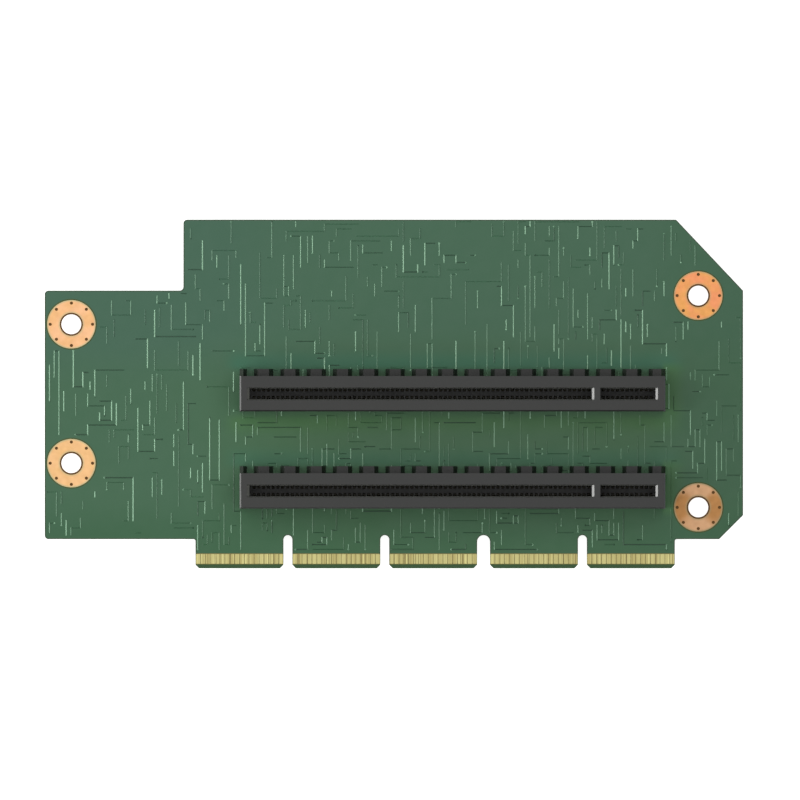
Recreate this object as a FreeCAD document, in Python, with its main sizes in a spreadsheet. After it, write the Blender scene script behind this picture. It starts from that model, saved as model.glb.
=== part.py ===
import FreeCAD, Part
import math
import os

import Sketcher

# A riser card for a server: one printed circuit board with five gold-edged blades along its foot,
# two long keyed sockets for expansion cards, and four mounting holes with copper lands.
# Millimetres. The board lies flat with its sockets upwards: X runs along the card, Y runs from the
# blades to the top edge, and Z leaves the socket side. The origin is under the middle of the board,
# level with the tips of the socket pegs, on which the loose card rests.

# name, size, what it is
SIZES = [
    ("board_length", 146.0, "over both ends"),
    ("board_height", 72.9, "from the foot of the blades to the top edge"),
    ("board_thickness", 1.57, "of the finished laminate"),
    ("corner_radius", 0.8, "of the routed corners"),
    ("wing_length", 29.0, "the lower stretch at the left end"),
    ("wing_drop", 14.84, "of the wing's edge below the top edge"),
    ("upper_cut_length", 14.0, "of the slanting upper right corner, along X"),
    ("upper_cut_drop", 14.84, "of the slanting upper right corner, along Y"),
    ("lower_cut", 5.0, "of the lower right corner, both ways"),
    ("blade_reach", 6.1, "of the blades below the board's long lower edge"),
    ("blades_inset", 14.26, "from the last blade to the right end"),
    ("blade_width", 18.4, "of each of the five blades"),
    ("blade_gap", 1.85, "between blades"),
    ("key_gap", 2.67, "between the third and the fourth blade, where the card is keyed"),
    ("notch_rise", 0.82, "of the gaps above the board's long lower edge"),
    ("blade_corner_cut", 0.75, "at the foot of each blade"),
    ("root_radius", 0.4, "where the outer blades leave the board"),
    ("bevel_rise", 0.95, "of the plug-in bevel along the blades"),
    ("bevel_depth", 0.35, "of that bevel, on each face"),
    ("copper_thickness", 0.05, "of the plated lands and fingers"),
    ("finger_count", 18, "on each face of a blade"),
    ("finger_pitch", 1.02, "from finger to finger"),
    ("finger_width", 0.9, "of one finger"),
    ("finger_length", 2.03, "of one finger"),
    ("hole_diameter", 4.15, "of the mounting holes"),
    ("land_bore", 4.85, "inside diameter of the copper lands"),
    ("land_diameter", 10.14, "outside diameter of the copper lands"),
    ("left_hole_inset", 5.57, "from the left end to the left pair of holes"),
    ("left_hole_drop", 7.04, "of the upper left hole below the wing's edge"),
    ("left_hole_rise", 15.88, "of the lower left hole above the long lower edge"),
    ("right_hole_inset", 9.35, "from the right end to the right pair of holes"),
    ("right_hole_drop", 15.88, "of the upper right hole below the top edge"),
    ("right_hole_rise", 6.64, "of the lower right hole above the long lower edge"),
    ("socket_gap", 1.82, "from the right ends of the sockets to the right pair of lands"),
    ("upper_slot_level", 36.5, "of the upper socket's middle line above the foot of the blades"),
    ("slot_spacing", 20.32, "between the two sockets"),
    ("housing_length", 89.0, "of one socket moulding"),
    ("housing_width", 7.4, "of one socket moulding"),
    ("housing_height", 11.25, "above the board"),
    ("housing_chamfer", 0.3, "round the top of the moulding"),
    ("cavity_width", 2.2, "between the long walls of the socket"),
    ("cavity_depth", 8.4, "from the mouth to the seat of the card"),
    ("cavity_margin", 0.9, "from an end contact to the end wall"),
    ("key_width", 1.8, "of the rib that divides the socket"),
    ("lead_depth", 0.45, "of the sloping mouth"),
    ("lead_side", 0.22, "how much the mouth opens at each long wall"),
    ("lead_end", 0.55, "how much the mouth opens at an end"),
    ("contact_pitch", 1.0, "from contact to contact"),
    ("data_count", 71, "contacts in each long row"),
    ("power_count", 11, "contacts in each short row"),
    ("first_contact", 3.0, "from the moulding's left end to the first contact"),
    ("bank_step", 3.0, "from the last data contact to the first power contact"),
    ("cell_width", 0.65, "of one contact cell, along X"),
    ("spine_width", 0.94, "of the floor between the two rows of cells"),
    ("cell_floor", 0.5, "of plastic left under a cell"),
    ("contact_width", 0.45, "of one contact, along X"),
    ("contact_metal", 0.2, "thickness of the contact strip"),
    ("contact_back_gap", 0.02, "between a contact and the wall behind it"),
    ("contact_throat", 1.16, "between the tips of two facing contacts"),
    ("contact_tip_drop", 2.95, "of the contact tips below the mouth"),
    ("peg_diameter", 2.35, "of the locating pegs under a moulding"),
    ("peg_clearance", 0.1, "of a peg in its hole, on the diameter"),
    ("peg_reach", 2.0, "of the pegs behind the board"),
    ("peg_inset", 1.35, "from the moulding's left end to the middle of the peg there"),
    ("rail_projection", 1.47, "of the toothed foot rail from the moulding's side"),
    ("rail_height", 4.0, "of its teeth"),
    ("rail_pitch", 5.5, "from tooth to tooth"),
    ("tooth_length", 4.0, "of a tooth at its foot"),
    ("tooth_slope", 0.85, "of each end of a tooth, along X"),
    ("first_tooth", 5.0, "from the moulding's left end to the middle of the first whole tooth"),
]

BLADES = 5
KEYED_BLADE = 3

document = FreeCAD.newDocument("riser_card")
sheet = document.addObject("Spreadsheet::Sheet", "sizes")
for row, (name, value, meaning) in enumerate(SIZES, start=1):
    sheet.set(f"A{row}", name)
    sheet.set(f"B{row}", str(value))
    sheet.set(f"C{row}", meaning)
    sheet.setAlias(f"B{row}", name)
document.recompute()


# ---------------------------------------------------------------- drawing helpers

def origin_plane(body, role):
    """One of the body's own three origin planes."""
    return next(plane for plane in body.Origin.OriginFeatures if plane.Role == role)


def new_body(label, x=None, y=None, z=None):
    """An empty body, put in its place on the card by expressions."""
    body = document.addObject("PartDesign::Body", label)
    body.Label = label
    body.AllowCompound = True
    for axis, place in (("x", x), ("y", y), ("z", z)):
        if place is not None:
            body.setExpression(f"Placement.Base.{axis}", place)
    return body


def new_sketch(body, role="XY_Plane", level=None):
    """An empty sketch on an origin plane of the body, lifted along the plane's normal."""
    sketch = body.newObject("Sketcher::SketchObject", body.Name + "_sketch")
    sketch.AttachmentSupport = [(origin_plane(body, role), "")]
    sketch.MapMode = "FlatFace"
    if level is not None:
        sketch.setExpression("AttachmentOffset.Base.z", level)
    return sketch


def bind(sketch, kind, geometry, position, expression):
    """Holds one point of the sketch at a distance from the sketch's origin."""
    row = sketch.addConstraint(Sketcher.Constraint(kind, -1, 1, geometry, position, 1.0))
    sketch.setExpression(f"Constraints[{row}]", expression)


def draw_polygon(sketch, corners):
    """A closed outline of straight lines. Each corner is an (x, y) pair of expressions."""
    first = len(sketch.Geometry)
    count = len(corners)
    turn = 2 * math.pi / count
    start = [FreeCAD.Vector(math.cos(turn * k), math.sin(turn * k), 0) for k in range(count)]
    lines = [Part.LineSegment(start[k], start[(k + 1) % count]) for k in range(count)]
    sketch.addGeometry(lines, False)
    for k in range(count):
        following = first + (k + 1) % count
        sketch.addConstraint(Sketcher.Constraint("Coincident", first + k, 2, following, 1))
    for k, (x, y) in enumerate(corners):
        bind(sketch, "DistanceX", first + k, 1, x)
        bind(sketch, "DistanceY", first + k, 1, y)


def draw_rectangle(sketch, left, right, low, high):
    draw_polygon(sketch, [(left, low), (right, low), (right, high), (left, high)])


def draw_circle(sketch, x, y, radius):
    circle = sketch.addGeometry(Part.Circle(FreeCAD.Vector(1, 1, 0), FreeCAD.Vector(0, 0, 1), 1), False)
    bind(sketch, "DistanceX", circle, 3, x)
    bind(sketch, "DistanceY", circle, 3, y)
    row = sketch.addConstraint(Sketcher.Constraint("Radius", circle, 1.0))
    sketch.setExpression(f"Constraints[{row}]", radius)


def pad(body, sketch, length):
    feature = body.newObject("PartDesign::Pad", body.Name + "_pad")
    feature.Profile = sketch
    feature.setExpression("Length", length)
    return feature


def pocket(body, sketch, length=None, reversed_way=False):
    """A cut along the sketch's normal, right through the body where no length is given."""
    feature = body.newObject("PartDesign::Pocket", body.Name + "_pocket")
    feature.Profile = sketch
    feature.Reversed = reversed_way
    if length is None:
        feature.Type = "ThroughAll"
        feature.Midplane = True
    else:
        feature.setExpression("Length", length)
    return feature


def row_of(body, feature, direction, count, pitch):
    """Copies of one feature in a row, which then ends the body."""
    pattern = body.newObject("PartDesign::LinearPattern", body.Name + "_row")
    pattern.Originals = [feature]
    pattern.Direction = direction
    pattern.setExpression("Occurrences", count)
    pattern.setExpression("Length", f"({count} - 1) * {pitch}")
    body.Tip = pattern
    return pattern


def upright_edge(shape, x, y):
    """The name of the edge that runs along Z at (x, y)."""
    for number, edge in enumerate(shape.Edges, start=1):
        ends = [vertex.Point for vertex in edge.Vertexes]
        if len(ends) == 2 and all(math.hypot(end.x - x, end.y - y) < 0.01 for end in ends):
            return f"Edge{number}"
    raise ValueError(f"no upright edge at {x}, {y}")


# ---------------------------------------------------------------- places on the card
# A body's own origin is a point that its maker would measure from. These expressions put it
# on the card. The board is drawn from its lower left corner.

LEFT_END = "-sizes.board_length / 2"
BLADE_FOOT = "-sizes.board_height / 2"
BACK_FACE = "sizes.peg_reach"
FRONT_FACE = "sizes.peg_reach + sizes.board_thickness"
WING_EDGE = "sizes.board_height - sizes.wing_drop"
RIGHT_HOLE = "sizes.board_length - sizes.right_hole_inset"

MOUNTING_HOLES = {
    "upper_left": ("sizes.left_hole_inset", f"{WING_EDGE} - sizes.left_hole_drop"),
    "lower_left": ("sizes.left_hole_inset", "sizes.blade_reach + sizes.left_hole_rise"),
    "upper_right": (RIGHT_HOLE, "sizes.board_height - sizes.right_hole_drop"),
    "lower_right": (RIGHT_HOLE, "sizes.blade_reach + sizes.right_hole_rise"),
}
SLOT_PLACE = f"{RIGHT_HOLE} - sizes.land_diameter / 2 - sizes.socket_gap - sizes.housing_length / 2"
SLOT_LEVELS = {
    "upper": "sizes.upper_slot_level",
    "lower": "sizes.upper_slot_level - sizes.slot_spacing",
}

# Along a socket, measured from the middle of its moulding.
FIRST_DATA = "sizes.first_contact - sizes.housing_length / 2"
LAST_DATA = f"{FIRST_DATA} + (sizes.data_count - 1) * sizes.contact_pitch"
FIRST_POWER = f"{LAST_DATA} + sizes.bank_step"
LAST_POWER = f"{FIRST_POWER} + (sizes.power_count - 1) * sizes.contact_pitch"
KEY_MIDDLE = f"{LAST_DATA} + sizes.bank_step / 2"
PEGS = (KEY_MIDDLE, "sizes.peg_inset - sizes.housing_length / 2")
BANKS = {"data": (FIRST_DATA, "sizes.data_count"), "power": (FIRST_POWER, "sizes.power_count")}
SEAT_LEVEL = "sizes.housing_height - sizes.cavity_depth"


def blade_left(blade):
    """How far the left side of a blade lies from the left end of the board."""
    place = "sizes.board_length - sizes.blades_inset"
    place += f" - {BLADES - blade} * sizes.blade_width - {BLADES - 1 - blade} * sizes.blade_gap"
    if blade < KEYED_BLADE:
        place += " - (sizes.key_gap - sizes.blade_gap)"
    return place


# ---------------------------------------------------------------- circuit board

def make_board():
    """The laminate: one routed outline, with notches between the blades and drilled holes."""
    board = new_body("circuit_board", LEFT_END, BLADE_FOOT, BACK_FACE)
    long_edge = "sizes.blade_reach"
    blades_start = blade_left(0)
    blades_end = "sizes.board_length - sizes.blades_inset"
    outline = new_sketch(board)
    draw_polygon(outline, [
        ("0", long_edge),
        (blades_start, long_edge),
        (blades_start, "0"),
        (blades_end, "0"),
        (blades_end, long_edge),
        ("sizes.board_length - sizes.lower_cut", long_edge),
        ("sizes.board_length", "sizes.blade_reach + sizes.lower_cut"),
        ("sizes.board_length", "sizes.board_height - sizes.upper_cut_drop"),
        ("sizes.board_length - sizes.upper_cut_length", "sizes.board_height"),
        ("sizes.wing_length", "sizes.board_height"),
        ("sizes.wing_length", WING_EDGE),
        ("0", WING_EDGE),
    ])
    pad(board, outline, "sizes.board_thickness")

    for blade in range(1, BLADES):
        cut_notch(board, blade)

    drilling = new_sketch(board)
    for x, y in MOUNTING_HOLES.values():
        draw_circle(drilling, x, y, "sizes.hole_diameter / 2")
    for level in SLOT_LEVELS.values():
        for peg in PEGS:
            place = f"{SLOT_PLACE} + {peg}"
            draw_circle(drilling, place, level, "(sizes.peg_diameter + sizes.peg_clearance) / 2")
    pocket(board, drilling)

    # The foot of the blades is bevelled on both faces so that it finds its socket.
    bevels = new_sketch(board, "YZ_Plane")
    thickness = "sizes.board_thickness"
    draw_polygon(bevels, [("0", "0"), ("sizes.bevel_rise", "0"), ("0", "sizes.bevel_depth")])
    draw_polygon(bevels, [
        ("0", thickness),
        ("0", f"{thickness} - sizes.bevel_depth"),
        ("sizes.bevel_rise", thickness),
    ])
    pocket(board, bevels)
    document.recompute()

    left_root, right_root = outline_corner(outline, 1), outline_corner(outline, 4)
    routed = [outline_corner(outline, number) for number in (0, 9, 10, 11)]
    round_edges(board, routed, "sizes.corner_radius")
    round_edges(board, [left_root, right_root], "sizes.root_radius")
    cut_blade_corners(board)
    return board


def cut_notch(board, blade):
    """The round-ended gap to the left of a blade."""
    left = f"{blade_left(blade - 1)} + sizes.blade_width"
    right = blade_left(blade)
    gap = "sizes.key_gap" if blade == KEYED_BLADE else "sizes.blade_gap"
    middle = f"{left} + {gap} / 2"
    centre_level = f"sizes.blade_reach + sizes.notch_rise - {gap} / 2"
    slot = new_sketch(board)
    draw_rectangle(slot, left, right, "-sizes.notch_rise", centre_level)
    pocket(board, slot)
    end = new_sketch(board)
    draw_circle(end, middle, centre_level, f"{gap} / 2")
    pocket(board, end)


def outline_corner(sketch, number):
    """Where a corner of a drawn outline lies, counted in the order of its points."""
    return sketch.Geometry[number].StartPoint


def round_edges(body, corners, radius):
    """Radii on the upright edges of a body that stand at the given corners."""
    base = body.Tip
    feature = body.newObject("PartDesign::Fillet", body.Name + "_fillet")
    feature.Base = (base, [upright_edge(base.Shape, corner.x, corner.y) for corner in corners])
    feature.setExpression("Radius", radius)
    document.recompute()


def cut_blade_corners(board):
    """The small slanting corners at the foot of each blade."""
    cut = "sizes.blade_corner_cut"
    corners = new_sketch(board)
    for blade in range(BLADES):
        left = blade_left(blade)
        right = f"{left} + sizes.blade_width"
        draw_polygon(corners, [(left, "0"), (f"{left} + {cut}", "0"), (left, cut)])
        draw_polygon(corners, [(right, "0"), (right, cut), (f"{right} - {cut}", "0")])
    pocket(board, corners)


# ---------------------------------------------------------------- copper on the board

def make_mounting_land(corner):
    """The copper ring round a mounting hole, under the screw's head."""
    x, y = MOUNTING_HOLES[corner]
    land = new_body(f"{corner}_mounting_land", f"{LEFT_END} + {x}", f"{BLADE_FOOT} + {y}", FRONT_FACE)
    ring = new_sketch(land)
    draw_circle(ring, "0", "0", "sizes.land_diameter / 2")
    draw_circle(ring, "0", "0", "sizes.land_bore / 2")
    pad(land, ring, "sizes.copper_thickness")
    return land


def make_fingers(face, blade):
    """The row of gold fingers on one face of a blade, above the bevel."""
    level = FRONT_FACE if face == "front" else f"{BACK_FACE} - sizes.copper_thickness"
    fingers = new_body(f"{face}_fingers_{blade + 1}", f"{LEFT_END} + {blade_left(blade)}",
                       BLADE_FOOT, level)
    row_length = "((sizes.finger_count - 1) * sizes.finger_pitch + sizes.finger_width)"
    left = f"(sizes.blade_width - {row_length}) / 2"
    sketch = new_sketch(fingers)
    draw_rectangle(sketch, left, f"{left} + sizes.finger_width",
                   "sizes.bevel_rise", "sizes.bevel_rise + sizes.finger_length")
    finger = pad(fingers, sketch, "sizes.copper_thickness")
    row_of(fingers, finger, (sketch, ["H_Axis"]), "sizes.finger_count", "sizes.finger_pitch")
    return fingers


# ---------------------------------------------------------------- sockets

def cut_cavity(housing, left, right, left_lead, right_lead):
    """One card cavity between the given ends, with a sloping mouth above straight walls."""
    half_width = "sizes.cavity_width / 2"
    half_mouth = "(sizes.cavity_width / 2 + sizes.lead_side)"
    straight = new_sketch(housing, level="sizes.housing_height")
    draw_rectangle(straight, left, right, f"-{half_width}", half_width)
    pocket(housing, straight, "sizes.cavity_depth")
    throat = new_sketch(housing, level="sizes.housing_height - sizes.lead_depth")
    draw_rectangle(throat, left, right, f"-{half_width}", half_width)
    mouth = new_sketch(housing, level="sizes.housing_height")
    draw_rectangle(mouth, f"{left} - {left_lead}", f"{right} + {right_lead}",
                   f"-{half_mouth}", half_mouth)
    funnel = housing.newObject("PartDesign::SubtractiveLoft", housing.Name + "_mouth")
    funnel.Profile = throat
    funnel.Sections = [mouth]
    funnel.Ruled = True


def cut_cells(housing, first, count):
    """Two facing rows of contact cells, sunk into the floor of the cavity along its walls."""
    half_cell = "sizes.cell_width / 2"
    sketch = new_sketch(housing, level=SEAT_LEVEL)
    near = "sizes.spine_width / 2"
    far = "sizes.cavity_width / 2"
    draw_rectangle(sketch, f"{first} - {half_cell}", f"{first} + {half_cell}", near, far)
    draw_rectangle(sketch, f"{first} - {half_cell}", f"{first} + {half_cell}", f"-{far}", f"-{near}")
    cell = pocket(housing, sketch, f"{SEAT_LEVEL} - sizes.cell_floor")
    row_of(housing, cell, (sketch, ["H_Axis"]), count, "sizes.contact_pitch")


def make_housing(position):
    """One socket moulding: body, pegs, toothed foot rail, keyed cavity and contact cells."""
    housing = new_body(f"{position}_slot_housing", f"{LEFT_END} + {SLOT_PLACE}",
                       f"{BLADE_FOOT} + {SLOT_LEVELS[position]}", FRONT_FACE)
    half_length = "sizes.housing_length / 2"
    half_width = "sizes.housing_width / 2"
    chamfer = "sizes.housing_chamfer"
    top = "sizes.housing_height"

    # The section along X has its two upper corners cut off.
    side = new_sketch(housing, "XZ_Plane", f"-{half_width}")
    draw_polygon(side, [
        (f"-{half_length}", "0"),
        (half_length, "0"),
        (half_length, f"{top} - {chamfer}"),
        (f"{half_length} - {chamfer}", top),
        (f"{chamfer} - {half_length}", top),
        (f"-{half_length}", f"{top} - {chamfer}"),
    ])
    pad(housing, side, "sizes.housing_width")

    # The same chamfer runs along the side that faces the blades.
    long_chamfer = new_sketch(housing, "YZ_Plane")
    draw_polygon(long_chamfer, [
        (f"-{half_width}", f"{top} - {chamfer}"),
        (f"{chamfer} - {half_width}", top),
        (f"-{half_width}", top),
    ])
    pocket(housing, long_chamfer)

    pegs = new_sketch(housing)
    for peg in PEGS:
        draw_circle(pegs, peg, "0", "sizes.peg_diameter / 2")
    peg_pad = pad(housing, pegs, "sizes.board_thickness + sizes.peg_reach")
    peg_pad.Reversed = True

    # The teeth of the foot rail run past both ends of the moulding, where they are cut back to
    # the same slope as every other tooth end.
    tooth_middle = f"sizes.first_tooth - sizes.rail_pitch - {half_length}"
    tooth_sketch = new_sketch(housing, "XZ_Plane", f"-{half_width} - sizes.rail_projection")
    draw_polygon(tooth_sketch, [
        (f"{tooth_middle} - sizes.tooth_length / 2", "0"),
        (f"{tooth_middle} + sizes.tooth_length / 2", "0"),
        (f"{tooth_middle} + sizes.tooth_length / 2 - sizes.tooth_slope", "sizes.rail_height"),
        (f"{tooth_middle} - sizes.tooth_length / 2 + sizes.tooth_slope", "sizes.rail_height"),
    ])
    tooth = pad(housing, tooth_sketch, "sizes.rail_projection")
    last_foot = "sizes.housing_length - sizes.first_tooth + sizes.tooth_length / 2"
    teeth = f"ceil(({last_foot}) / sizes.rail_pitch + 1)"
    row_of(housing, tooth, (tooth_sketch, ["H_Axis"]), teeth, "sizes.rail_pitch")
    trim = new_sketch(housing, "XZ_Plane", f"-{half_width}")
    outside = f"{half_length} + sizes.tooth_length"
    for side in ("", "-"):
        draw_polygon(trim, [
            (f"{side}({half_length})", "0"),
            (f"{side}({outside})", "0"),
            (f"{side}({outside})", "sizes.rail_height"),
            (f"{side}({half_length} - sizes.tooth_slope)", "sizes.rail_height"),
        ])
    pocket(housing, trim, "sizes.rail_projection")

    key_left = f"{KEY_MIDDLE} - sizes.key_width / 2"
    key_right = f"{KEY_MIDDLE} + sizes.key_width / 2"
    cut_cavity(housing, f"{FIRST_DATA} - sizes.cavity_margin", key_left,
               "sizes.lead_end", "sizes.lead_end")
    cut_cavity(housing, key_right, f"{LAST_POWER} + sizes.cavity_margin", "0", "sizes.lead_end")
    for first, count in BANKS.values():
        cut_cells(housing, first, count)
    return housing


def make_contacts(position, bank, row):
    """One row of contact blades. Each stands on its cell floor by the wall, tapers and leans inwards."""
    first, count = BANKS[bank]
    contacts = new_body(f"{position}_slot_{bank}_contacts_{row}",
                        f"{LEFT_END} + {SLOT_PLACE} + {first}",
                        f"{BLADE_FOOT} + {SLOT_LEVELS[position]}", FRONT_FACE)
    side = "" if row == "a" else "-"
    back = "(sizes.cavity_width / 2 - sizes.contact_back_gap)"
    profile = new_sketch(contacts, "YZ_Plane")
    draw_polygon(profile, [
        (f"{side}{back}", "sizes.cell_floor"),
        (f"{side}(sizes.contact_throat / 2)", "sizes.housing_height - sizes.contact_tip_drop"),
        (f"{side}({back} - sizes.contact_metal)", "sizes.cell_floor"),
    ])
    spring = pad(contacts, profile, "sizes.contact_width")
    spring.Midplane = True
    row_of(contacts, spring, (origin_plane(contacts, "YZ_Plane"), [""]), count,
           "sizes.contact_pitch")
    return contacts


# ---------------------------------------------------------------- the whole card

parts = [make_board()]
parts += [make_mounting_land(corner) for corner in MOUNTING_HOLES]
parts += [make_fingers(face, blade) for face in ("front", "back") for blade in range(BLADES)]
for position in SLOT_LEVELS:
    parts.append(make_housing(position))
    parts += [make_contacts(position, bank, row) for bank in BANKS for row in "ab"]
document.recompute()

for item in document.Objects:
    if "Invalid" in item.State or "Error" in item.State:
        raise RuntimeError(f"{item.Label} could not be built: {item.State}")
    if item.TypeId in ("PartDesign::Pocket", "PartDesign::SubtractiveLoft"):
        if item.Shape.Volume >= item.BaseFeature.Shape.Volume:
            raise RuntimeError(f"{item.Label} cuts nothing")

os.makedirs("parts", exist_ok=True)
for part in parts:
    if part.Shape.isNull() or not part.Shape.isValid():
        raise RuntimeError(f"{part.Label} has no sound shape")
    part.Shape.exportStep(f"parts/{part.Label}.step")
    print(part.Label, len(part.Shape.Solids), "solids", round(part.Shape.Volume, 3), "mm3")
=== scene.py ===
import math
import random

import bmesh
import bpy
from mathutils import Matrix, Vector


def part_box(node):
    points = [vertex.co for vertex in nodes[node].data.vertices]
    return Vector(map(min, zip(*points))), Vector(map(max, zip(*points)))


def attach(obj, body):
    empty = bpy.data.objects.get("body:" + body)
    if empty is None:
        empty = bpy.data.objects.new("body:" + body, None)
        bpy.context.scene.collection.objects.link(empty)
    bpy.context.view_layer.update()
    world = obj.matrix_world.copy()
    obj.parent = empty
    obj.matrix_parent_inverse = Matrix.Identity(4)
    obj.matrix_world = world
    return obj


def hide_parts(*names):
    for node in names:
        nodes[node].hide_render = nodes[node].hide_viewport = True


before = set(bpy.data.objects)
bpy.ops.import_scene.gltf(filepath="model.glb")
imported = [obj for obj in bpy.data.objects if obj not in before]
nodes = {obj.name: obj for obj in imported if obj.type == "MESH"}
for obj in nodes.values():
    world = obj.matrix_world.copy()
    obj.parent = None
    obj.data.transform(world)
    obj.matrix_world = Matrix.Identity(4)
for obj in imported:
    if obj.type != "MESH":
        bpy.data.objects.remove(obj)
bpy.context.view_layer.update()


# ---------------------------------------------------------------- circuit board
# A routed sheet of glass-epoxy laminate. Both copper faces lie under green solder mask, a thin
# glossy paint that pools a little; the bare sheet shows at the cut edges, at the plug-in bevels
# and in a narrow window above the gold fingers.

MM = 0.001
BACK, FACE = (corner.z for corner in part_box("circuit_board"))
SOCKET_BOXES = [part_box(f"{position}_slot_housing") for position in ("upper", "lower")]
SOCKET_START, SOCKET_END = (corner.x for corner in SOCKET_BOXES[0])
SOCKET_SIDES = [(low.y, high.y) for low, high in SOCKET_BOXES]
FINGER_FOOT, FINGER_HEAD = (corner.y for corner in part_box("front_fingers_1"))


def seen(red, green, blue):
    """A colour as the eye reads it, 0 to 255, as the linear light that a shader mixes."""
    shares = [value / 255 for value in (red, green, blue)]
    light = [s / 12.92 if s <= 0.04045 else ((s + 0.055) / 1.055) ** 2.4 for s in shares]
    return (*light, 1.0)


class Wire:
    """An output socket of a material. Sums on it add Math nodes."""

    def __init__(self, tree, socket=None):
        self.tree = tree
        self.socket = socket

    def node(self, kind, settings=None, inputs=None, output=0):
        """Any node: its settings first, then the values or links of its sockets."""
        made = self.tree.nodes.new(kind)
        for name, value in (settings or {}).items():
            setattr(made, name, value)
        for name, value in (inputs or {}).items():
            if isinstance(value, Wire):
                self.tree.links.new(value.socket, made.inputs[name])
            else:
                made.inputs[name].default_value = value
        return Wire(self.tree, made.outputs[output])

    def maths(self, operation, *values):
        """A Math node of that operation on these values or wires."""
        return self.node("ShaderNodeMath", {"operation": operation}, dict(enumerate(values)))

    def __add__(self, other):
        return self.maths("ADD", self, other)

    def __sub__(self, other):
        return self.maths("SUBTRACT", self, other)

    def __rsub__(self, other):
        return self.maths("SUBTRACT", other, self)

    def __mul__(self, other):
        return self.maths("MULTIPLY", self, other)

    def __truediv__(self, other):
        return self.maths("DIVIDE", self, other)

    __radd__ = __add__
    __rmul__ = __mul__

    def into(self, shader, socket):
        self.tree.links.new(self.socket, shader.inputs[socket])


def axis(place, letter):
    """One of the three coordinates, X, Y or Z."""
    return place.node("ShaderNodeSeparateXYZ", inputs={"Vector": place}, output=letter)


def rise(wire, low, high):
    """0 below low, 1 above high, and a soft step between."""
    settings = {"interpolation_type": "SMOOTHSTEP"}
    inputs = {"Value": wire, "From Min": low, "From Max": high}
    return wire.node("ShaderNodeMapRange", settings, inputs)


def band(wire, start, full, fade, end):
    """1 between full and fade, softly down to 0 at start and at end."""
    return rise(wire, start, full) - rise(wire, fade, end)


def blend(share, first, second):
    """The first colour where share is 0, the second where it is 1."""
    inputs = {0: share, 6: first, 7: second}
    return share.node("ShaderNodeMix", {"data_type": "RGBA"}, inputs, output=2)


def grain(place, scale, detail=2.0, stretch=(1, 1, 1)):
    """Noise from 0 to 1 on the piece's own coordinates."""
    scaled = place.node("ShaderNodeVectorMath", {"operation": "MULTIPLY"}, {0: place, 1: stretch})
    inputs = {"Vector": scaled, "Scale": scale, "Detail": detail}
    return place.node("ShaderNodeTexNoise", inputs=inputs)


def relief(height, shader, distance):
    """A bump of that height, in metres, on the shader's normal."""
    inputs = {"Height": height, "Distance": distance}
    height.node("ShaderNodeBump", inputs=inputs, output="Normal").into(shader, "Normal")


def start_material(name, **sockets):
    """A new material with its shader's constant sockets set, and a wire of Object coordinates."""
    material = bpy.data.materials.new(name)
    material.use_nodes = True
    tree = material.node_tree
    shader = tree.nodes["Principled BSDF"]
    for socket, value in sockets.items():
        shader.inputs[socket.replace("_", " ")].default_value = value
    place = Wire(tree).node("ShaderNodeTexCoord", output="Object")
    return material, shader, place


def dress(node, material):
    """The CAD node keeps its shape and takes this material all over."""
    mesh = nodes[node].data
    mesh.materials.clear()
    mesh.materials.append(material)


MASK_TEAL = seen(45, 83, 62)
MASK_OLIVE = seen(46, 86, 52)
MASK_FAR_END_SHADE = seen(38, 80, 52)
MASK_FOOT_SHADE = seen(27, 76, 42)
MASK_LIT_ABOVE_SOCKETS = seen(34, 98, 74)
MASK_LIT_BELOW_AND_BEYOND = seen(53, 100, 47)
LAMINATE = seen(96, 104, 52)
GLASS_CLOTH = seen(58, 66, 30)
BARE_WINDOW = seen(108, 98, 44)
BEVEL = seen(48, 74, 45)
BEVEL_HEAD = seen(122, 116, 66)


def mask_colour(place):
    """The mask's green: cooler at the wing and the long upper edge, a painted reflection; deeper
    at the foot and the far end, painted shade; and on the front lighter above each socket and
    yellower below and beyond them, painted light that lifts the shade beside the sockets."""
    x = axis(place, "X")
    y = axis(place, "Y")
    front = rise(axis(place, "Z"), BACK + 0.5 * MM, FACE - 0.5 * MM)
    along = band(x, SOCKET_START - 4 * MM, SOCKET_START, SOCKET_END, SOCKET_END + 5 * MM) * front
    # painted reflection: the mask turns cooler towards the wing and the long upper edge
    cool = rise(y, 0 * MM, 16 * MM) * 0.7 + (1 - rise(x, -55 * MM, -10 * MM)) * 0.5
    green = blend(cool.maths("MINIMUM", cool, 1.0), MASK_OLIVE, MASK_TEAL)
    # painted shade: the mask turns darker towards the far end and the foot
    green = blend(rise(x, 48 * MM, 68 * MM) * 0.7, green, MASK_FAR_END_SHADE)
    green = blend((1 - rise(y, -30 * MM, -20 * MM)) * 0.6, green, MASK_FOOT_SHADE)
    # painted light on the front, lifting the shade by the sockets: lighter above each, yellower
    # below the upper one and beyond their far ends
    beyond = band(x, SOCKET_END - 1 * MM, SOCKET_END, SOCKET_END + 1 * MM, SOCKET_END + 5 * MM)
    for (low, high), share in zip(SOCKET_SIDES, (0.55, 0.35)):
        above = band(y, high - 1 * MM, high + 1 * MM, high + 1 * MM, high + 5 * MM)
        green = blend(along * above * share, green, MASK_LIT_ABOVE_SOCKETS)
        abreast = band(y, low - 2 * MM, low, high, high + 2 * MM)
        green = blend(abreast * beyond * front * 0.6, green, MASK_LIT_BELOW_AND_BEYOND)
    low = SOCKET_SIDES[0][0]
    below = band(y, low - 6 * MM, low - 2 * MM, low - 2 * MM, low)
    green = blend(along * below * 0.6, green, MASK_LIT_BELOW_AND_BEYOND)
    pooled = rise(grain(place, 45, 1.0), 0.35, 0.65)
    return blend(pooled * 0.16, green, MASK_TEAL)


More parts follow.
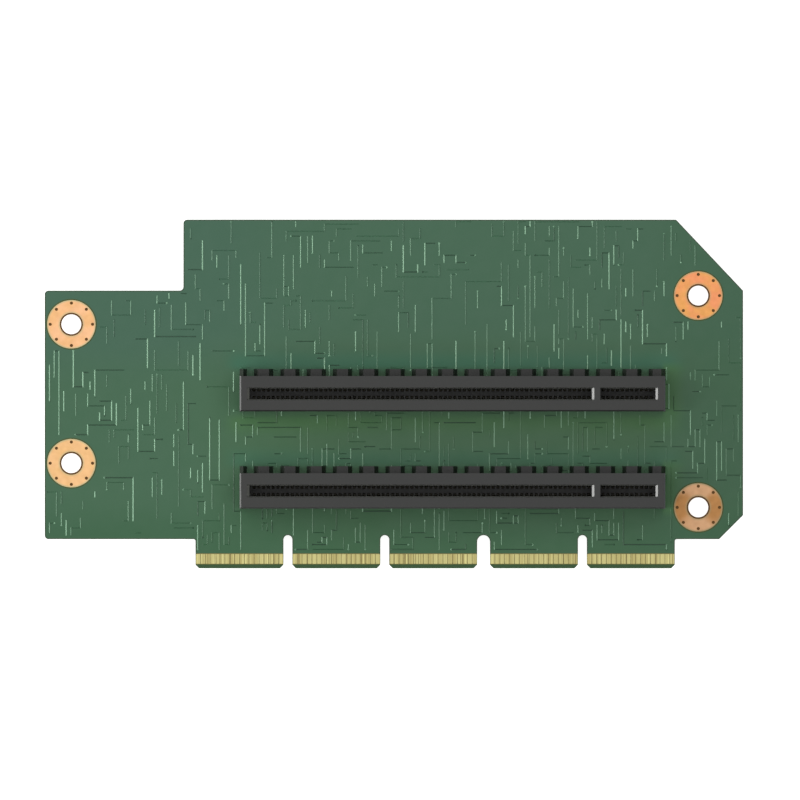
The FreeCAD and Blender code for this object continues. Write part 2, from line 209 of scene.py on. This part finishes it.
laminate_and_mask, shader, place = start_material("laminate_and_mask", Specular_IOR_Level=0.3)
y = axis(place, "Y")
z = axis(place, "Z")
cut_edge = band(z, BACK + 0.02 * MM, BACK + 0.05 * MM, FACE - 0.05 * MM, FACE - 0.02 * MM)
glass = grain(place, 2400, 1.0, (0.2, 0.2, 3.0))
bare = blend(glass, LAMINATE, GLASS_CLOTH)
bevel = blend(rise(y, FINGER_FOOT - 0.16 * MM, FINGER_FOOT - 0.04 * MM), BEVEL, BEVEL_HEAD)
bare = blend(rise(y, FINGER_FOOT - 0.02 * MM, FINGER_FOOT + 0.02 * MM), bevel, bare)
above_window = rise(y, FINGER_HEAD + 0.08 * MM, FINGER_HEAD + 0.2 * MM)
masked = blend(above_window, BARE_WINDOW, mask_colour(place))
blend(cut_edge, masked, bare).into(shader, "Base Color")
(0.42 + cut_edge * 0.3 + grain(place, 320) * 0.12).into(shader, "Roughness")
relief(grain(place, 900, 3.0), shader, 0.004 * MM)
dress("circuit_board", laminate_and_mask)


# ---------------------------------------------------------------- solder mask margin
# The mask stops just short of the routed edge and of each drilled hole, so a hair of bare
# laminate frames the board. It stands for the sheet itself, painted a darker green than the
# bare sheet, a painted shade along the board's edges and round its holes.

MARGIN_WIDTH = 0.2 * MM
MARGIN_HEIGHT = 0.012 * MM
WELD = 0.0005 * MM
FLATNESS = 0.001 * MM


def grab(*pieces):
    """Selects these objects alone, the first of them active."""
    if bpy.context.object and bpy.context.object.mode == "EDIT":
        bpy.ops.object.mode_set(mode="OBJECT")
    bpy.ops.object.select_all(action="DESELECT")
    for piece in pieces:
        piece.select_set(True)
    bpy.context.view_layer.objects.active = pieces[0]


def pick(piece, test):
    """In edit mode, selects the faces of the active piece that pass the test."""
    bpy.ops.mesh.select_mode(type="FACE")
    bpy.ops.mesh.select_all(action="DESELECT")
    shape = bmesh.from_edit_mesh(piece.data)
    for face in shape.faces:
        if test(face):
            face.select_set(True)
    shape.select_flush_mode()
    bmesh.update_edit_mesh(piece.data)


def turn_outwards():
    """Ends the work in edit mode with every face turned outwards."""
    bpy.ops.mesh.select_all(action="SELECT")
    bpy.ops.mesh.normals_make_consistent(inside=False)
    bpy.ops.object.mode_set(mode="OBJECT")


def settle(piece, name, material):
    """Names a finished piece, brings its object to the origin and sets it on the card."""
    grab(piece)
    bpy.ops.object.transform_apply(location=True, rotation=True, scale=True)
    piece.name = name
    piece.data.name = name
    piece.data.materials.clear()
    piece.data.materials.append(material)
    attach(piece, "root")


margin_material, shader, place = start_material("laminate_margin_edge_shade", Roughness=0.7)
# painted shade: the margin is a dark green, darker than the bare laminate, along every edge and
# hole
blend(grain(place, 1500, 3.0), seen(34, 58, 36), seen(48, 68, 42)).into(shader, "Base Color")
relief(grain(place, 2500), shader, 0.005 * MM)

for side, level, lift in (("front", FACE, MARGIN_HEIGHT), ("back", BACK, -MARGIN_HEIGHT)):
    margin = nodes["circuit_board"].copy()
    margin.data = margin.data.copy()
    for key in list(margin.keys()):
        del margin[key]
    margin.parent = None
    bpy.context.scene.collection.objects.link(margin)
    grab(margin)
    bpy.ops.object.mode_set(mode="EDIT")
    bpy.ops.mesh.select_all(action="SELECT")
    bpy.ops.mesh.remove_doubles(threshold=WELD)
    pick(margin, lambda face: max(abs(v.co.z - level) for v in face.verts) > FLATNESS)
    bpy.ops.mesh.delete(type="FACE")
    bpy.ops.mesh.select_all(action="SELECT")
    bpy.ops.mesh.inset(thickness=MARGIN_WIDTH, use_even_offset=True)
    bpy.ops.mesh.delete(type="FACE")
    bpy.ops.mesh.select_all(action="SELECT")
    bpy.ops.mesh.extrude_region_move(TRANSFORM_OT_translate={"value": (0, 0, lift)})
    turn_outwards()
    settle(margin, f"{side}_mask_margin", margin_material)


# ---------------------------------------------------------------- traces under the mask
# Copper tracks etched on both faces, 0.15 to 0.25 mm wide, in upright and level runs that end
# in small vias. The mask drapes over them, so each shows as a low ridge with sloping sides.
# The upright runs are painted pale, the copper under the mask with a painted highlight, and
# the level runs dark, a painted shade.

LANE = 0.5 * MM
CLEARANCE = 0.4 * MM
TRACE_HEIGHT = 0.05 * MM
LEVEL_TRACE_SHARE = 0.94
TRACE_SLOPE = 0.06 * MM
TRACE_FOOT = 0.002 * MM
VIA_RADIUS = 0.2 * MM
VIA_STEPS = ((1.0, 0.6), (-0.4, 0.5))
# in pairs: for the open part of the board, and for the denser part below the upper socket
STARTS_SKIPPED = (0.3, 0.0)
UPRIGHT_STARTS = (0.85, 0.7)
LEG_COUNTS = ((1, 1, 1, 2, 2, 3, 4), (1, 2, 3, 4, 5))
# the painted highlight on upright runs, weaker in the denser part below the upper socket
UPRIGHT_HIGHLIGHT = (1.0, 0.6)
# shortest, longest and mean length of a leg, in lanes
UPRIGHT_LEG = (3, 36, 10)
LEVEL_LEG = (2, 18, 6)
STRENGTHS = (0.15, 0.25, 0.4, 0.6, 0.85, 1.0)
VIA_SHARE = 0.45
VIA_TONES = (-0.8, 0.9, 0.5)


def leg_length(chance, shortest, longest, mean):
    """How many lanes a leg takes: mostly few, seldom many."""
    return min(longest, shortest + int(chance.expovariate(1 / mean)))


def route(seed, level, outward, runs):
    """Plans a face's tracks. Each run starts at random, turns at every leg and keeps clear of the
    others. Every leg and via is a spot: its middle, its size, and the tone of its mask, above 0
    where it looks pale and below 0 where it looks dark. On upright legs the pale tone is copper
    seen through the mask with a painted highlight on it; on level legs the dark tone is painted
    shade."""
    chance = random.Random(seed)
    taken = set()
    board = nodes["circuit_board"]
    low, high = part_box("circuit_board")
    copper = [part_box(node) for node in nodes if node.endswith("land") or "fingers" in node]
    uprights, levels, vias = [], [], []

    def free(column, row):
        """Whether there is bare, level mask all round this crossing of two lanes."""
        x, y = column * LANE, row * LANE
        if any(a.x - LANE < x < b.x + LANE and a.y - LANE < y < b.y + LANE for a, b in copper):
            return False
        for across in (-CLEARANCE, CLEARANCE):
            for along in (-CLEARANCE, CLEARANCE):
                start = Vector((x + across, y + along, level + outward * 10 * MM))
                hit, where, *_ = board.ray_cast(start, Vector((0, 0, -outward)))
                if not hit or abs(where.z - level) > 0.01 * MM:
                    return False
        return (column, row) not in taken

    def free_run(column, row, step, length):
        """The free crossings from this one on, up to the first that isn't."""
        cells = []
        for k in range(length + 1):
            cell = (column + step[0] * k, row + step[1] * k)
            if not free(*cell):
                break
            cells.append(cell)
        return cells

    for _ in range(runs):
        column = round(chance.uniform(low.x, high.x) / LANE)
        row = round(chance.uniform(low.y, high.y) / LANE)
        dense = column * LANE > SOCKET_START and row * LANE < SOCKET_SIDES[0][0]
        if STARTS_SKIPPED[dense] and chance.random() < STARTS_SKIPPED[dense]:
            continue
        upright = chance.random() < UPRIGHT_STARTS[dense]
        width = chance.uniform(0.15, 0.25) * MM
        strength = chance.choice(STRENGTHS)
        # the painted highlight's share: 0.8 towards the far end, else by the part of the board
        bright = 0.8 if column * LANE > high.x * 0.8 else UPRIGHT_HIGHLIGHT[dense]
        cells_used = []
        for _ in range(chance.choice(LEG_COUNTS[dense])):
            if upright:
                step = (0, chance.choice((-1, 1)))
                length = leg_length(chance, *UPRIGHT_LEG)
                tone = strength * bright if chance.random() < 0.88 else -0.6 * strength
            else:
                step = (chance.choice((-1, 1)), 0)
                length = leg_length(chance, *LEVEL_LEG)
                # painted shade on the level runs, deeper below the upper socket
                tone = -(0.35 + 0.65 * strength) if dense else -strength * 0.85
            cells = free_run(column, row, step, length)
            if len(cells) < 3:
                break
            (x0, y0), (x1, y1) = cells[0], cells[-1]
            middle = ((x0 + x1) / 2 * LANE, (y0 + y1) / 2 * LANE, level)
            size = (abs(x1 - x0) * LANE + width, abs(y1 - y0) * LANE + width, 1)
            (uprights if upright else levels).append((middle, size, tone))
            cells_used += cells
            column, row = cells[-1]
            upright = not upright
        if cells_used and chance.random() < VIA_SHARE:
            spot = (column * LANE, row * LANE, level)
            vias.append((spot, (1, 1, 1), chance.choice(VIA_TONES)))
        taken.update((x + i, y + j) for x, y in cells_used for i in (-1, 0, 1) for j in (-1, 0, 1))
    return uprights, levels, vias


def join(pieces):
    """Makes one piece of several; it keeps the name and place of the first."""
    grab(*pieces)
    bpy.ops.object.join()
    return bpy.context.object


def lay_out(master, spots):
    """A copy of the master at each spot, stretched to its size, with the tone of its mask."""
    copies = []
    for spot, size, tone in spots:
        copy = master.copy()
        copy.data = master.data.copy()
        bpy.context.scene.collection.objects.link(copy)
        copy.data.transform(Matrix.LocRotScale(Vector(spot), None, Vector(size)))
        tones = copy.data.attributes.new("tone", "FLOAT", "POINT")
        tones.data.foreach_set("value", [tone] * len(copy.data.vertices))
        copies.append(copy)
    bpy.data.objects.remove(master)
    return join(copies)


def ridges(spots, height):
    """Flat strips, drawn up a hair and then inset as they rise, so that their sides slope."""
    bpy.ops.object.select_all(action="DESELECT")
    bpy.ops.mesh.primitive_plane_add(size=1, location=(0, 0, 0))
    strips = lay_out(bpy.context.object, spots)
    bpy.ops.object.mode_set(mode="EDIT")
    bpy.ops.mesh.select_all(action="SELECT")
    lift = math.copysign(TRACE_FOOT, height)
    bpy.ops.mesh.extrude_region_move(TRANSFORM_OT_translate={"value": (0, 0, lift)})
    bpy.ops.mesh.inset(thickness=TRACE_SLOPE, depth=height - lift, use_individual=True)
    bpy.ops.object.mode_set(mode="OBJECT")
    return strips


def start_disc(radius, sides, spot=(0, 0, 0)):
    """A filled disc, in edit mode with all of it selected."""
    bpy.ops.object.select_all(action="DESELECT")
    bpy.ops.mesh.primitive_circle_add(
        vertices=sides, radius=radius, fill_type="NGON", location=spot)
    disc = bpy.context.object
    bpy.ops.object.mode_set(mode="EDIT")
    bpy.ops.mesh.select_all(action="SELECT")
    return disc


def draw_out(lift, share):
    """Draws the selected face out along Z and leaves it that share of its width."""
    bpy.ops.mesh.extrude_region_move(TRANSFORM_OT_translate={"value": (0, 0, lift)})
    bpy.ops.transform.resize(value=(share, share, 1))


def via_rings(spots, height):
    """Small eight-sided mounds with a dished top."""
    mound = start_disc(VIA_RADIUS, 8)
    for climb, share in VIA_STEPS:
        draw_out(climb * height, share)
    bpy.ops.object.mode_set(mode="OBJECT")
    return lay_out(mound, spots)


def traces(seed, level, outward, runs):
    """All the tracks of one face as one piece."""
    uprights, levels, vias = route(seed, level, outward, runs)
    height = outward * TRACE_HEIGHT
    strips = [ridges(uprights, height), ridges(levels, height * LEVEL_TRACE_SHARE)]
    tracks = join(strips + [via_rings(vias, height)])
    bpy.ops.object.mode_set(mode="EDIT")
    turn_outwards()
    return tracks


trace_material, shader, place = start_material("mask_over_traces", Specular_IOR_Level=0.3)
# the tone paints the mask pale with a painted highlight above 0, and dark with a painted shade
# below 0
tone = place.node("ShaderNodeAttribute", {"attribute_name": "tone"}, output="Fac")
highlit = blend(rise(tone, 0.0, 1.0) * 0.8, mask_colour(place), seen(134, 174, 144))
blend(rise(0 - tone, 0.0, 1.0) * 0.8, highlit, seen(14, 46, 28)).into(shader, "Base Color")
(0.36 + grain(place, 400) * 0.12).into(shader, "Roughness")
relief(grain(place, 900, 3.0), shader, 0.004 * MM)
settle(traces(7, FACE, 1, 1400), "front_traces", trace_material)
settle(traces(19, BACK, -1, 600), "back_traces", trace_material)


# ---------------------------------------------------------------- mounting lands
# Bare copper rings round the four screw holes, bonded to both faces of the board and tied
# together by eight small plated holes each. The screw heads ground the card on them.

BORE = 4.15 * MM / 2
LAND_BORE = 4.85 * MM / 2
LAND_THICKNESS = 0.05 * MM
COLLAR_HEIGHT = 0.03 * MM
OPENING_WIDTH = 0.25 * MM
OPENING_HEIGHT = 0.008 * MM
RING_SIDES = 64
STITCHES = 8
STITCH_CIRCLE = 8.86 * MM / 2
STITCH_RADIUS = 0.33 * MM
STITCH_HEIGHT = 0.02 * MM
# fresh copper, worn copper, and the oxide at both edges of the ring; on the lower right
# land the first two are mostly the lit and shaded sides of a painted reflection
LAND_COLOURS = {
    "upper_left": (seen(208, 162, 121), seen(202, 156, 107), seen(158, 152, 116)),
    "lower_left": (seen(203, 161, 114), seen(197, 156, 104), seen(158, 152, 116)),
    "upper_right": (seen(203, 130, 86), seen(196, 139, 76), seen(156, 134, 96)),
    "lower_right": (seen(174, 135, 100), seen(151, 107, 61), seen(132, 120, 88)),
}


def land_material(corner, centre, radius):
    """Copper with soft blotches, duller and greyer towards its rim and its bore. On the lower
    right land the blotches follow a painted reflection of spun metal, lighter above and below
    the bore and darker to its sides.
    """
    material, shader, place = start_material(f"{corner}_land_copper", Metallic=0.75)
    fresh_and_lit, worn_and_shaded, oxide = LAND_COLOURS[corner]
    arm = place.node("ShaderNodeVectorMath", {"operation": "SUBTRACT"}, {0: place, 1: centre})
    arm = arm.node("ShaderNodeVectorMath", {"operation": "MULTIPLY"}, {0: arm, 1: (1, 1, 0)})
    distance = arm.node("ShaderNodeVectorMath", {"operation": "LENGTH"}, {0: arm}, output="Value")
    blotch_and_sheen = rise(grain(place, 260), 0.35, 0.65)
    if corner == "lower_right":
        # painted reflection: spun copper, lighter above and below the bore and darker to its left
        # and right
        spun_sheen = axis(arm, "X") * axis(arm, "X") / (distance * distance)
        blotch_and_sheen = rise(spun_sheen + blotch_and_sheen * 0.25, 0.3, 1.0)
    rim = rise(distance, radius - 0.45 * MM, radius) * 0.9
    lip = (1 - rise(distance, LAND_BORE, LAND_BORE + 0.5 * MM)) * 0.6
    blend(rim + lip, blend(blotch_and_sheen, fresh_and_lit, worn_and_shaded), oxide).into(shader, "Base Color")
    (0.42 + grain(place, 900, 3.0) * 0.2).into(shader, "Roughness")
    relief(grain(place, 3000), shader, 0.002 * MM)
    return material


def ring(centre, inner, outer, level, lift):
    """A flat ring on a level: a disc, inset, its middle cut out, drawn to its thickness."""
    made = start_disc(outer, RING_SIDES, (centre.x, centre.y, level))
    bpy.ops.mesh.inset(thickness=outer - inner)
    bpy.ops.mesh.delete(type="FACE")
    bpy.ops.mesh.select_all(action="SELECT")
    bpy.ops.mesh.extrude_region_move(TRANSFORM_OT_translate={"value": (0, 0, lift)})
    turn_outwards()
    return made


def ring_pair(centre, inner, outer, height):
    """The same ring on both faces of the board."""
    faces = ((FACE, height), (BACK, -height))
    return join([ring(centre, inner, outer, level, lift) for level, lift in faces])


def stitching_hole(x, y, level, lift):
    """A plated hole, closed: a low rim round a dished dark middle, painted shade where an open
    hole would look dark.
    """
    hole = start_disc(STITCH_RADIUS, 16, (x, y, level))
    bpy.ops.mesh.extrude_region_move(TRANSFORM_OT_translate={"value": (0, 0, lift)})
    bpy.ops.mesh.inset(thickness=STITCH_RADIUS * 0.25)
    bpy.ops.transform.translate(value=(0, 0, -lift * 0.8))
    turn_outwards()
    return hole


dark_plating, shader, place = start_material(
    "dark_plating_and_via_shade", Metallic=0.15, Specular_IOR_Level=0.2)
# dark brown plating on the hole collars; on the stitching vias, painted shade for the hole
blend(grain(place, 1200), seen(94, 62, 20), seen(70, 48, 20)).into(shader, "Base Color")
(0.5 + grain(place, 700) * 0.2).into(shader, "Roughness")

opening_material, shader, place = start_material(
    "mask_opening", Roughness=0.7, Specular_IOR_Level=0.2)
blend(grain(place, 900), seen(68, 76, 40), seen(56, 74, 42)).into(shader, "Base Color")

for corner in LAND_COLOURS:
    low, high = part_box(f"{corner}_mounting_land")
    centre = (low + high) / 2
    land_radius = (high.x - low.x) / 2
    copper = land_material(corner, centre, land_radius)
    dress(f"{corner}_mounting_land", copper)
    back_land = ring(centre, LAND_BORE, land_radius, BACK, -LAND_THICKNESS)
    settle(back_land, f"{corner}_back_land", copper)
    collars = ring_pair(centre, BORE, LAND_BORE, COLLAR_HEIGHT)
    settle(collars, f"{corner}_hole_collar", dark_plating)
    openings = ring_pair(centre, land_radius, land_radius + OPENING_WIDTH, OPENING_HEIGHT)
    settle(openings, f"{corner}_mask_opening", opening_material)
    holes = []
    for k in range(STITCHES):
        angle = math.tau * k / STITCHES
        x = centre.x + STITCH_CIRCLE * math.cos(angle)
        y = centre.y + STITCH_CIRCLE * math.sin(angle)
        holes.append(stitching_hole(x, y, high.z, STITCH_HEIGHT))
        holes.append(stitching_hole(x, y, BACK - LAND_THICKNESS, -STITCH_HEIGHT))
    settle(join(holes), f"{corner}_stitching_vias", dark_plating)


# ---------------------------------------------------------------- edge fingers
# Gold plated contact pads at the foot of each blade, front and back, which wipe into the
# socket of the main board. Fine upright scratches come from plating and from each insertion;
# the pale streaks among them are painted highlights.

GOLD = seen(163, 156, 102)
GOLD_SHADE = seen(149, 139, 86)
SCRATCH_HIGHLIGHT = seen(192, 186, 126)
DARK_SCRATCH = seen(90, 78, 38)

gold, shader, place = start_material("gold_plating", Metallic=0.6)
streaks = grain(place, 3200, 2.0, (1, 0.01, 0.01))
broad = grain(place, 700, 1.0, (1, 0.05, 0.05))
plated = blend(rise(broad, 0.35, 0.65), GOLD, GOLD_SHADE)
# painted highlight: pale streaks among the scratches
plated = blend(rise(streaks, 0.54, 0.68) * 0.75, plated, SCRATCH_HIGHLIGHT)
blend(rise(1 - streaks, 0.56, 0.68) * 0.8, plated, DARK_SCRATCH).into(shader, "Base Color")
(0.34 + streaks * 0.2).into(shader, "Roughness")
relief(streaks, shader, 0.004 * MM)
for node in nodes:
    if "fingers" in node:
        dress(node, gold)


# ---------------------------------------------------------------- socket mouldings
# Two card sockets moulded in black glass-filled polymer: a long box with a keyed cavity, a
# toothed foot rail and two pegs. The skin is matt with a fine grain, and smoother where the
# mould was polished, in the lead-ins of the mouth, which also carry a painted highlight. A
# painted highlight lines the chamfer at the far end, and painted light lifts the seat strip
# deep in the cavity's shade.

SEAT_DEPTH = 8.4 * MM
MOULDED = seen(35, 36, 34)
MOULDED_SHADE = seen(29, 29, 30)
MOULDED_SPECK = seen(50, 50, 48)
POLISHED_HIGHLIGHT = seen(78, 79, 75)
FAR_CHAMFER_HIGHLIGHT = seen(58, 60, 61)
SEAT_PAINTED_LIGHT = seen(64, 64, 60)


def slot_line(position):
    """The middle of a socket's cavity along Y, halfway between its two rows of contacts."""
    rows = [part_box(f"{position}_slot_data_contacts_{row}") for row in "ab"]
    return sum(corner.y for box in rows for corner in box) / 4


plastic, shader, place = start_material(
    "black_moulding", Specular_IOR_Level=0.265, Coat_Roughness=0.14)
x = axis(place, "X")
z = axis(place, "Z")
speck = grain(place, 2600)
flow = grain(place, 60, 2.0, (0.15, 1, 1))

# aside is the distance from the middle line of the nearer socket
upper_line, lower_line = (slot_line(position) for position in ("upper", "lower"))
aside = axis(place, "Y") - (upper_line + lower_line) / 2
aside = aside.maths("ABSOLUTE", aside) - (upper_line - lower_line) / 2
aside = aside.maths("ABSOLUTE", aside)

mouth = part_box("upper_slot_housing")[1].z
seat = mouth - SEAT_DEPTH
chamfer = band(z, mouth - 0.52 * MM, mouth - 0.46 * MM, mouth - 0.02 * MM, mouth - 0.005 * MM)
near_edge = (1 - rise(x, SOCKET_START + 0.4 * MM, SOCKET_START + 0.6 * MM)) * chamfer
far_edge = rise(x, SOCKET_END - 0.4 * MM, SOCKET_END - 0.2 * MM) * chamfer

inside = band(x, SOCKET_START + 0.6 * MM, SOCKET_START + 0.8 * MM,
              SOCKET_END - 1.2 * MM, SOCKET_END - 1.0 * MM)
inside = inside * (1 - rise(aside, 1.35 * MM, 1.45 * MM))
by_wall = rise(aside, 1.08 * MM, 1.12 * MM)
beside = band(z, mouth - 0.52 * MM, mouth - 0.46 * MM, mouth - 0.12 * MM, mouth - 0.07 * MM)
endways = band(z, mouth - 0.42 * MM, mouth - 0.36 * MM, mouth - 0.02 * MM, mouth - 0.005 * MM)
lead_in = inside * (by_wall * beside + (1 - by_wall) * endways)
# painted light: a lighter strip on the seat by the cells, deep in the cavity's shade
seat_light_strip = band(z, seat - 0.05 * MM, seat - 0.02 * MM, seat + 0.02 * MM, seat + 0.05 * MM)
seat_light_strip = seat_light_strip * rise(aside, 0.4 * MM, 0.55 * MM)

skin = blend(rise(flow, 0.3, 0.7) * 0.5, MOULDED, MOULDED_SHADE)
# painted highlight: the lead-ins of the mouth are painted lighter as well as polished
skin = blend(lead_in, skin, POLISHED_HIGHLIGHT)
# painted highlight: a lighter line along the chamfer at the far end
skin = blend(far_edge, skin, FAR_CHAMFER_HIGHLIGHT)
skin = blend(seat_light_strip, skin, SEAT_PAINTED_LIGHT)
blend(rise(speck, 0.55, 0.75) * 0.3, skin, MOULDED_SPECK).into(shader, "Base Color")
polish = lead_in + near_edge * 0.45
(0.36 + speck * 0.14 - polish * 0.2).into(shader, "Roughness")
(polish * 0.45).into(shader, "Coat Weight")
relief(speck, shader, 0.006 * MM)
for position in ("upper", "lower"):
    dress(f"{position}_slot_housing", plastic)


# ---------------------------------------------------------------- socket contacts
# Springs stamped from copper alloy strip and pressed into the cells of the sockets. Each rises
# by the cell's wall, bows in to the wiping point and curls back, so that a card slides past it.
# The metal is painted dark, a painted shade for the depth of the cells.

PITCH = 1.0 * MM
SPRING_WIDTH = 0.45 * MM
SPRING_THICKNESS = 0.19 * MM
TIP_SETBACK = 0.35
# each length of the bow: its share of the height, its share of the lean, and the thickness left
SPRING_BOW = (
    (0.40, 0.14, 0.95),
    (0.26, 0.30, 0.90),
    (0.16, 0.36, 0.90),
    (0.07, 0.18, 0.95),
    (0.03, 0.02, 0.90),
    (0.03, -0.22, 0.85),
    (0.05, -0.34, 0.80),
)

contact_metal, shader, place = start_material(
    "contact_alloy", Metallic=0.4, Specular_IOR_Level=0.15)
z = axis(place, "Z")
alloy_mottle = grain(place, 800)
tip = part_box("upper_slot_data_contacts_a")[1].z
wiped = band(z, tip - 1.3 * MM, tip - 0.9 * MM, tip - 0.5 * MM, tip)
# painted shade: the alloy is painted dark grey, as it looks deep in the cells; the band where a
# card wipes is lighter
painted_dark_alloy = blend(alloy_mottle, seen(51, 49, 41), seen(37, 36, 31))
blend(wiped * 0.5, painted_dark_alloy, seen(66, 58, 38)).into(shader, "Base Color")
(0.4 + alloy_mottle * 0.2).into(shader, "Roughness")


def contact_spring(foot, lean, height):
    """A strip drawn up from its foot along the bow, a little narrower with each length."""
    bpy.ops.object.select_all(action="DESELECT")
    bpy.ops.mesh.primitive_plane_add(size=1, location=foot)
    spring = bpy.context.object
    spring.scale = (SPRING_WIDTH, SPRING_THICKNESS, 1)
    bpy.ops.object.transform_apply(location=True, rotation=True, scale=True)
    bpy.ops.object.mode_set(mode="EDIT")
    bpy.ops.mesh.select_all(action="SELECT")
    for up, inwards, thickness in SPRING_BOW:
        move = (0, inwards * lean, up * height)
        bpy.ops.mesh.extrude_region_move(TRANSFORM_OT_translate={"value": move})
        bpy.ops.transform.resize(value=(0.97, thickness, 1))
    turn_outwards()
    return spring


def repeat(piece, count, step):
    """Turns a piece into a row of itself."""
    row = piece.modifiers.new("row", "ARRAY")
    row.use_relative_offset = False
    row.use_constant_offset = True
    row.constant_offset_displace = (step, 0, 0)
    row.count = count
    grab(piece)
    bpy.ops.object.modifier_apply(modifier="row")


for node in [name for name in nodes if "contacts" in name]:
    dress(node, contact_metal)
    low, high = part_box(node)
    wall, throat, inwards = (high.y, low.y, -1) if node.endswith("a") else (low.y, high.y, 1)
    foot = Vector((low.x + SPRING_WIDTH / 2, wall + inwards * SPRING_THICKNESS / 2, low.z))
    lean = throat - inwards * SPRING_THICKNESS * TIP_SETBACK - foot.y
    springs = contact_spring(foot, lean, high.z - low.z)
    repeat(springs, round((high.x - low.x - SPRING_WIDTH) / PITCH) + 1, PITCH)
    settle(springs, node.replace("contacts", "springs"), contact_metal)
    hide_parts(node)


# ---------------------------------------------------------------- solder tails
# Each contact ends in a round tail that passes through a plated hole and is soldered behind
# the board. The tails stand in two staggered rows on each side of a socket.

TAIL_ROWS = (1.25 * MM, 3.25 * MM)
SOLDER_RADIUS = 0.55 * MM
# each length from the board outwards, in mm, and the share of its width that is left
TAIL_STEPS = ((0.18, 0.72), (0.3, 0.6), (0.7, 0.92), (0.14, 0.7))

solder, shader, place = start_material("solder", Metallic=0.85)
blend(grain(place, 1400), seen(176, 178, 176), seen(130, 133, 134)).into(shader, "Base Color")
(0.3 + grain(place, 900) * 0.25).into(shader, "Roughness")
relief(grain(place, 2000), shader, 0.01 * MM)


def solder_tail():
    """A fillet cone on the back face, drawn in to the tail and out to its blunt tip."""
    tail = start_disc(SOLDER_RADIUS, 8, (0, 0, BACK))
    for length, share in TAIL_STEPS:
        draw_out(-length * MM, share)
    turn_outwards()
    bpy.ops.object.transform_apply(location=True, rotation=True, scale=True)
    return tail


tail = solder_tail()
for position in ("upper", "lower"):
    tails = []
    for bank in ("data", "power"):
        for row, side in (("a", 1), ("b", -1)):
            low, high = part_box(f"{position}_slot_{bank}_contacts_{row}")
            start = low.x + SPRING_WIDTH / 2
            count = round((high.x - low.x - SPRING_WIDTH) / PITCH) + 1
            for stagger, reach in enumerate(TAIL_ROWS):
                copy = tail.copy()
                copy.data = tail.data.copy()
                bpy.context.scene.collection.objects.link(copy)
                first = (start + stagger * PITCH, slot_line(position) + side * reach, 0)
                copy.data.transform(Matrix.Translation(first))
                repeat(copy, (count + 1 - stagger) // 2, 2 * PITCH)
                tails.append(copy)
    settle(join(tails), f"{position}_slot_solder_tails", solder)
bpy.data.objects.remove(tail)


# ---------------------------------------------------------------- floor, light and camera
# The card lies on a pale table in a white studio with a wider floor below it, under a broad
# overhead softbox, with a strong low softbox at its left end, and is seen from straight above.

VIEW_CENTRE = (1.28 * MM, -1.26 * MM)
VIEW_WIDTH = 167.26 * MM
CAMERA_HEIGHT = 0.4

for name, width, level, glow in (("table_top", 4, 0.0, 0.8), ("studio_floor", 16, -0.25, 1.1)):
    bpy.ops.object.select_all(action="DESELECT")
    bpy.ops.mesh.primitive_plane_add(size=width, location=(0, 0, level))
    floor = bpy.context.object
    floor.name = name
    paint, shader, place = start_material(
        f"{name}_paint", Roughness=0.9, Specular_IOR_Level=0.1,
        Emission_Color=(1, 1, 1, 1), Emission_Strength=glow)
    pale, paler = (0.58, 0.58, 0.58, 1), (0.62, 0.62, 0.62, 1)
    blend(grain(place, 3, 1.0), pale, paler).into(shader, "Base Color")
    floor.data.materials.append(paint)


def softbox(name, place, aim, width, height, radiance):
    """A rectangular lamp of even brightness that faces its aim."""
    bpy.ops.object.light_add(type="AREA", location=place)
    lamp = bpy.context.object
    lamp.name = name
    lamp.data.shape = "RECTANGLE"
    lamp.data.size = width
    lamp.data.size_y = height
    lamp.data.energy = radiance * math.pi * width * height
    lamp.rotation_mode = "QUATERNION"
    lamp.rotation_quaternion = (Vector(aim) - Vector(place)).to_track_quat("-Z", "Y")


softbox("overhead_softbox", (0, 0, 0.6), (0, 0, 0), 0.8, 0.8, 2.1)
softbox("left_softbox", (-0.7, 0, 0.175), (0, 0, 0.175), 1.0, 0.35, 8.0)

world = bpy.data.worlds.new("studio")
world.use_nodes = True
background = world.node_tree.nodes["Background"]
background.inputs["Color"].default_value = (1, 1, 1, 1)
background.inputs["Strength"].default_value = 0.2
bpy.context.scene.world = world
bpy.context.scene.view_settings.view_transform = "Standard"

bpy.ops.object.camera_add(location=(*VIEW_CENTRE, CAMERA_HEIGHT), rotation=(0, 0, 0))
camera = bpy.context.object
camera.data.type = "ORTHO"
camera.data.ortho_scale = VIEW_WIDTH
camera.data.clip_start = 0.01
camera.data.clip_end = 10
bpy.context.scene.camera = camera
